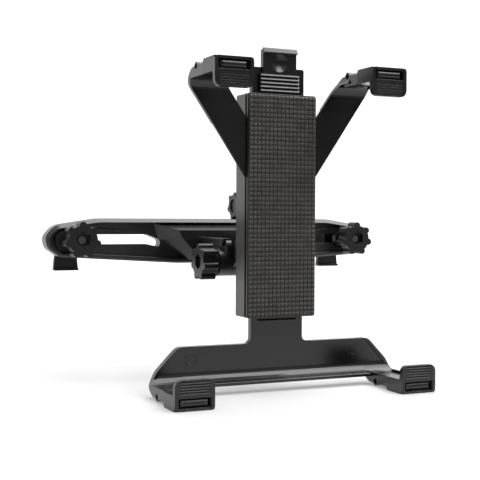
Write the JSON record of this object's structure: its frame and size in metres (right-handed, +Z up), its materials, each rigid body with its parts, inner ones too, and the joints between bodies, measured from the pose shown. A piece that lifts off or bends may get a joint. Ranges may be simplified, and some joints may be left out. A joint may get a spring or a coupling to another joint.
{
  "type": "headrest tablet holder",
  "caption": "Tablet holder for a car headrest: slotted bar with two post clamps, tilting and swivelling column, swinging upper arms and a sliding foot with padded claws.",
  "frame": {"origin": "centre of the cross bar's flat back land, midway between the headrest posts", "axes": "+X to the right seen from the rear seat, -Y towards the tablet, +Z up"},
  "size_m": [0.2418, 0.1681, 0.2078],
  "materials": {
    "satin_plastic": "moulded dark grey plastic, satin",
    "gloss_plastic": "moulded black plastic, semi-gloss",
    "matt_plastic": "moulded black plastic, matt",
    "pad_rubber": "dark warm grey rubber",
    "claw_rubber": "smooth black rubber",
    "dark_steel": "plated steel"
  },
  "bodies": {
    "bar": {"headrest_bar": "satin_plastic", "tilt_bolt": "dark_steel", "tilt_washer": "dark_steel"},
    "left_clamp": {"left_jaw": "matt_plastic", "left_clamp_washer": "dark_steel"},
    "right_clamp": {"right_jaw": "matt_plastic", "right_clamp_washer": "dark_steel"},
    "left_hook_body": {"left_hook": "matt_plastic", "left_post_pad": "pad_rubber", "left_clamp_bolt": "dark_steel"},
    "right_hook_body": {"right_hook": "matt_plastic", "right_post_pad": "pad_rubber", "right_clamp_bolt": "dark_steel"},
    "left_clamp_star": {"left_clamp_knob": "matt_plastic", "left_clamp_nut": "dark_steel"},
    "right_clamp_star": {"right_clamp_knob": "matt_plastic", "right_clamp_nut": "dark_steel"},
    "tilt_star": {"tilt_knob": "matt_plastic", "tilt_nut": "dark_steel"},
    "bracket": {"tilt_bracket": "satin_plastic"},
    "lock_star": {"swivel_lock_knob": "matt_plastic", "swivel_lock_screw": "dark_steel"},
    "column": {"swivel_hub": "satin_plastic", "swivel_retainer": "dark_steel", "swivel_screw": "dark_steel", "hub_screws": "dark_steel", "housing_back": "satin_plastic", "housing_front": "satin_plastic", "grip_pad": "pad_rubber", "housing_screws": "dark_steel", "left_arm_washer": "dark_steel", "right_arm_washer": "dark_steel", "left_arm_screw": "dark_steel", "right_arm_screw": "dark_steel", "foot_detent": "dark_steel", "detent_screw": "dark_steel"},
    "arm_left": {"left_arm": "gloss_plastic", "upper_left_claw": "claw_rubber"},
    "arm_right": {"right_arm": "gloss_plastic", "upper_right_claw": "claw_rubber"},
    "foot_body": {"foot": "gloss_plastic", "lower_left_claw": "claw_rubber", "lower_right_claw": "claw_rubber"}
  },
  "joints": [
    {"name": "left_clamp_slide", "type": "slide", "parent": "bar", "child": "left_clamp", "axis": [-1, 0, 0], "range_m": [-0.044, 0.002]},
    {"name": "right_clamp_slide", "type": "slide", "parent": "bar", "child": "right_clamp", "axis": [1, 0, 0], "range_m": [-0.044, 0.002]},
    {"name": "left_clamp_turn", "type": "hinge", "parent": "left_clamp", "child": "left_clamp_star", "pos_m": [-0.101, -0.02, -0.001], "axis": [0, -1, 0], "range_deg": [0, 1080]},
    {"name": "right_clamp_turn", "type": "hinge", "parent": "right_clamp", "child": "right_clamp_star", "pos_m": [0.101, -0.02, -0.001], "axis": [0, -1, 0], "range_deg": [0, 1080]},
    {"name": "left_hook_draw", "type": "slide", "parent": "left_clamp", "child": "left_hook_body", "axis": [0, 1, 0], "range_m": [0, 0.0024]},
    {"name": "right_hook_draw", "type": "slide", "parent": "right_clamp", "child": "right_hook_body", "axis": [0, 1, 0], "range_m": [0, 0.0024]},
    {"name": "tilt", "type": "hinge", "parent": "bar", "child": "bracket", "pos_m": [0, -0.057, -0.0147], "axis": [1, 0, 0], "range_deg": [-25, 30]},
    {"name": "tilt_knob_turn", "type": "hinge", "parent": "bar", "child": "tilt_star", "pos_m": [-0.03, -0.057, -0.0147], "axis": [-1, 0, 0], "range_deg": [0, 360]},
    {"name": "swivel", "type": "hinge", "parent": "bracket", "child": "column", "pos_m": [0, -0.09, 0.0212], "axis": [0, -1, 0], "continuous": true},
    {"name": "lock_knob_turn", "type": "hinge", "parent": "bracket", "child": "lock_star", "pos_m": [-0.02, -0.0831, 0.0212], "axis": [-1, 0, 0], "range_deg": [0, 360]},
    {"name": "left_arm_swing", "type": "hinge", "parent": "column", "child": "arm_left", "pos_m": [-0.0115, -0.105, 0.039], "axis": [0, -1, 0], "range_deg": [-6, 40]},
    {"name": "right_arm_swing", "type": "hinge", "parent": "column", "child": "arm_right", "pos_m": [0.0115, -0.105, 0.039], "axis": [0, 1, 0], "range_deg": [-6, 40]},
    {"name": "foot_slide", "type": "slide", "parent": "column", "child": "foot_body", "axis": [0, 0, 1], "range_m": [-0.0235, 0.012]}
  ],
  "couplings": [
    {"joint": "left_clamp_turn", "follows": "left_hook_draw", "rad_per_m": 7853.9},
    {"joint": "right_clamp_turn", "follows": "right_hook_draw", "rad_per_m": 7853.9}
  ]
}
